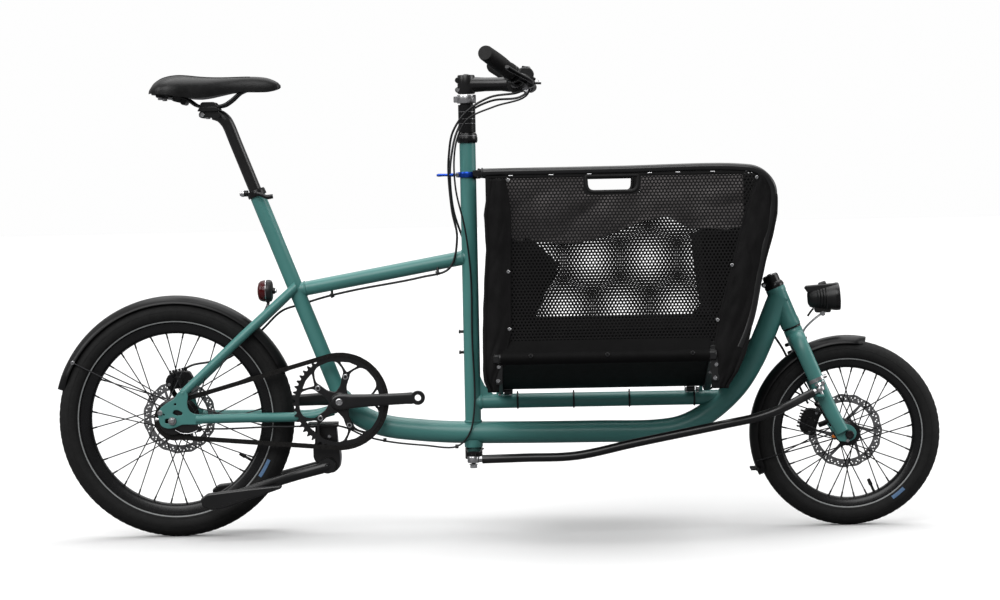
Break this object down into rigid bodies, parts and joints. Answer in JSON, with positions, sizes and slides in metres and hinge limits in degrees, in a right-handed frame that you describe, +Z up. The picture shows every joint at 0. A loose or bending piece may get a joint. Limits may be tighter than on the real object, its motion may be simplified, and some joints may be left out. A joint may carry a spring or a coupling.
{
  "type": "cargo bicycle",
  "caption": "Compact front-loading cargo bicycle with a folding perforated-panel basket between handlebar column and small front wheel, linkage steering and disc brakes.",
  "frame": {"origin": "on the ground, half-way along the bicycle's length, in its middle plane", "axes": "+X forward, +Y to the rider's left, +Z up"},
  "size_m": [1.9172, 0.6, 1.0362],
  "materials": {
    "frame_paint": "satin teal-green powder coat",
    "black_paint": "satin black",
    "black_plastic": "moulded, matt",
    "rubber": "matt",
    "tyre": "block tread",
    "steel": "brushed",
    "blue_anodised": "anodised blue",
    "red_lens": "translucent red, glossy",
    "saddle_cover": "smooth synthetic cover",
    "basket_fabric": "woven, water resistant"
  },
  "bodies": {
    "frame": {"main_tube": "frame_paint", "column_tube": "frame_paint", "seat_tube": "frame_paint", "top_tube": "frame_paint", "seat_stays": "frame_paint", "chain_stay_left": "frame_paint", "chain_stay_right": "frame_paint", "seat_collar": "black_paint", "rear_axle": "steel", "rear_caliper": "black_paint", "rear_fender": "black_paint", "rear_light": "red_lens", "chain": "steel", "stand_bracket": "black_paint", "basket_crossbar": "black_paint", "column_band": "blue_anodised", "rear_brake_hose": "rubber", "front_brake_hose": "rubber", "gear_cable": "rubber"},
    "handlebar_column": {"steerer": "black_paint", "stem": "black_paint", "handlebar": "black_paint", "grip_left": "rubber", "grip_right": "rubber", "brake_master_left": "black_paint", "brake_master_right": "black_paint", "shifter_body": "black_plastic"},
    "brake_lever_left": {"brake_lever_left": "black_paint"},
    "brake_lever_right": {"brake_lever_right": "black_paint"},
    "shifter_lever": {"shifter_lever": "black_plastic"},
    "column_band_lever": {"column_band_lever": "blue_anodised"},
    "seat_collar_lever": {"seat_collar_lever": "black_paint"},
    "seatpost": {"seatpost": "black_paint", "saddle": "saddle_cover"},
    "steering_rod": {"steering_rod": "black_paint"},
    "fork": {"fork": "frame_paint", "front_axle": "black_paint", "front_fender": "black_paint", "front_caliper": "black_paint", "headlight_bracket": "steel"},
    "headlight": {"headlight": "black_plastic"},
    "front_wheel": {"front_tyre": "tyre", "front_rim": "black_paint", "front_hub": "black_paint", "front_rotor": "steel"},
    "rear_wheel": {"rear_tyre": "tyre", "rear_rim": "black_paint", "rear_hub": "black_paint", "rear_rotor": "steel"},
    "rear_sprocket": {"rear_sprocket": "steel"},
    "crankset": {"crank_right": "black_paint", "chainring": "black_paint", "crank_left": "black_paint"},
    "stand": {"stand_legs": "black_paint"},
    "basket_floor_near": {"basket_floor_near": "black_paint"},
    "basket_floor_far": {"basket_floor_far": "black_paint"},
    "basket_panel_near": {"basket_panel_near": "black_paint", "basket_fabric_near": "basket_fabric"},
    "basket_panel_far": {"basket_panel_far": "black_paint", "basket_fabric_far": "basket_fabric"}
  },
  "joints": [
    {"name": "steering", "type": "hinge", "parent": "frame", "child": "handlebar_column", "pos_m": [-0.05335, 0, 0.846], "axis": [0, 0, 1], "range_deg": [-35, 35], "deforming": ["rear_brake_hose", "front_brake_hose", "gear_cable"]},
    {"name": "fork_steer", "type": "hinge", "parent": "frame", "child": "fork", "pos_m": [0.64265, 0, 0.432], "axis": [-0.3746, 0, 0.9272], "range_deg": [-33, 33]},
    {"name": "rod_swivel", "type": "hinge", "parent": "handlebar_column", "child": "steering_rod", "pos_m": [-0.05135, -0.082, 0.164], "axis": [0, 0.0413, 0.9991], "range_deg": [-36, 36]},
    {"name": "headlight_tilt", "type": "hinge", "parent": "fork", "child": "headlight", "pos_m": [0.70965, 0, 0.461], "axis": [0, 1, 0], "range_deg": [-20, 20]},
    {"name": "front_wheel_spin", "type": "hinge", "parent": "fork", "child": "front_wheel", "pos_m": [0.75835, 0, 0.201], "axis": [0, 1, 0], "continuous": true},
    {"name": "rear_wheel_spin", "type": "hinge", "parent": "frame", "child": "rear_wheel", "pos_m": [-0.70135, 0, 0.258], "axis": [0, 1, 0], "continuous": true},
    {"name": "crank_spin", "type": "hinge", "parent": "frame", "child": "crankset", "pos_m": [-0.33935, 0, 0.292], "axis": [0, 1, 0], "continuous": true},
    {"name": "sprocket_spin", "type": "hinge", "parent": "frame", "child": "rear_sprocket", "pos_m": [-0.70135, 0, 0.258], "axis": [0, 1, 0], "continuous": true},
    {"name": "stand_swing", "type": "hinge", "parent": "frame", "child": "stand", "pos_m": [-0.37035, 0, 0.152], "axis": [0, -1, 0], "range_deg": [0, 81]},
    {"name": "seatpost_slide", "type": "slide", "parent": "frame", "child": "seatpost", "axis": [-0.361, 0, 0.9326], "range_m": [-0.15, 0.04]},
    {"name": "seat_collar_lever", "type": "hinge", "parent": "frame", "child": "seat_collar_lever", "pos_m": [-0.51516, -0.025, 0.74618], "axis": [-0.361, 0, 0.9326], "range_deg": [-90, 0]},
    {"name": "column_band_lever", "type": "hinge", "parent": "frame", "child": "column_band_lever", "pos_m": [-0.08635, 0, 0.777], "axis": [0, 0, 1], "range_deg": [0, 90]},
    {"name": "brake_lever_left", "type": "hinge", "parent": "handlebar_column", "child": "brake_lever_left", "pos_m": [0.08765, 0.15, 0.967], "axis": [0, 0, 1], "range_deg": [0, 9], "stiffness_Nm_per_rad": 2, "springref_deg": -4.58},
    {"name": "brake_lever_right", "type": "hinge", "parent": "handlebar_column", "child": "brake_lever_right", "pos_m": [0.08765, -0.15, 0.967], "axis": [0, 0, -1], "range_deg": [0, 9], "stiffness_Nm_per_rad": 2, "springref_deg": -4.58},
    {"name": "shifter_lever", "type": "hinge", "parent": "handlebar_column", "child": "shifter_lever", "pos_m": [0.07865, -0.106, 0.969], "axis": [0, 0, 1], "range_deg": [0, 20], "stiffness_Nm_per_rad": 0.5, "springref_deg": -2.86},
    {"name": "basket_fold", "type": "hinge", "parent": "frame", "child": "basket_floor_near", "pos_m": [0.19865, -0.014, 0.308], "axis": [-1, 0, 0], "range_deg": [0, 32]},
    {"name": "floor_far_fold", "type": "hinge", "parent": "frame", "child": "basket_floor_far", "pos_m": [0.19865, 0.014, 0.308], "axis": [1, 0, 0], "range_deg": [0, 32]},
    {"name": "panel_near_swing", "type": "hinge", "parent": "basket_floor_near", "child": "basket_panel_near", "pos_m": [0.19865, -0.286, 0.392], "axis": [1, 0, 0], "range_deg": [0, 41], "deforming": ["basket_fabric_near"]},
    {"name": "panel_far_swing", "type": "hinge", "parent": "basket_floor_far", "child": "basket_panel_far", "pos_m": [0.19865, 0.286, 0.392], "axis": [-1, 0, 0], "range_deg": [0, 41], "deforming": ["basket_fabric_far"]}
  ],
  "couplings": [
    {"joint": "fork_steer", "follows": "steering", "ratio": 0.93},
    {"joint": "rod_swivel", "follows": "steering", "ratio": -1.005},
    {"joint": "sprocket_spin", "follows": "crank_spin", "ratio": 2.7778},
    {"joint": "floor_far_fold", "follows": "basket_fold", "ratio": 1},
    {"joint": "panel_near_swing", "follows": "basket_fold", "ratio": 1.25},
    {"joint": "panel_far_swing", "follows": "basket_fold", "ratio": 1.25}
  ]
}
